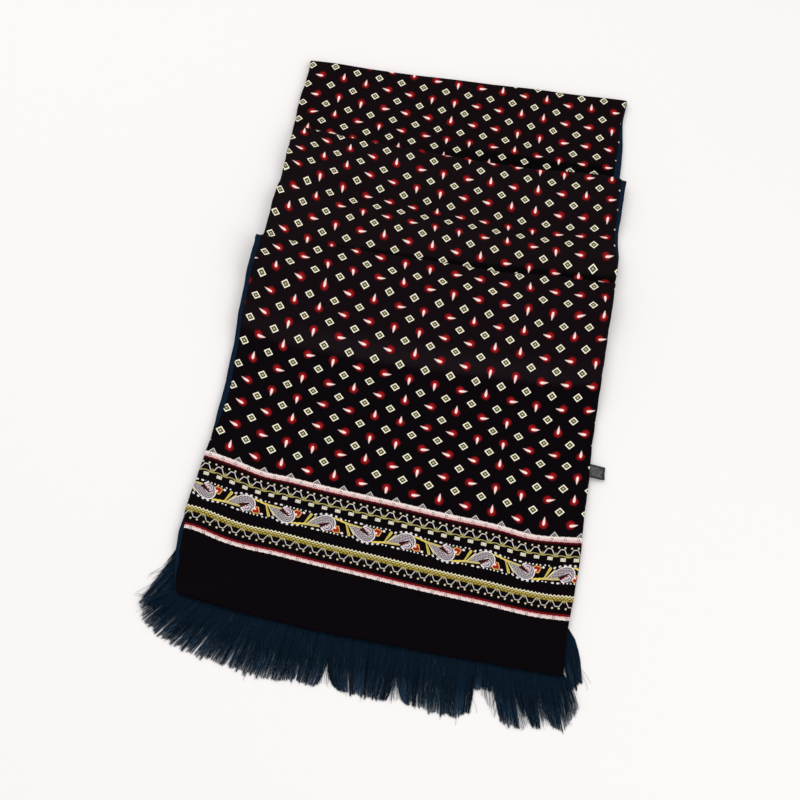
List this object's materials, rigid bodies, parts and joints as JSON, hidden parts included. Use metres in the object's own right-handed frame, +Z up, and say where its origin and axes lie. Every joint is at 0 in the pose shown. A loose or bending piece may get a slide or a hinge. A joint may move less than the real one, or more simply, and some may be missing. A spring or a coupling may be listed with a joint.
{
  "type": "folded silk scarf",
  "caption": "Fringed double-faced silk scarf with a paisley border, lying folded back and forth in a flat stepped pile.",
  "frame": {"origin": "centre of the bounding box on the resting surface", "axes": "+Z up, +Y along the cloth away from the near fringe, +X across the cloth to the right"},
  "size_m": [0.337, 0.5742, 0.0161],
  "materials": {
    "printed_silk": "black printed silk twill with a soft sheen",
    "navy_cloth": "matt navy woven backing",
    "navy_thread": "loose navy twisted threads",
    "black_tape": "plain black woven tape"
  },
  "bodies": {
    "root": {"silk_top": "printed_silk", "silk_middle": "printed_silk", "silk_far": "printed_silk", "backing_top": "navy_cloth", "backing_middle": "navy_cloth", "backing_far": "navy_cloth", "hidden_layers": "navy_cloth", "fringe_top": "navy_thread", "fringe_under": "navy_thread", "side_label": "black_tape"}
  },
  "joints": []
}
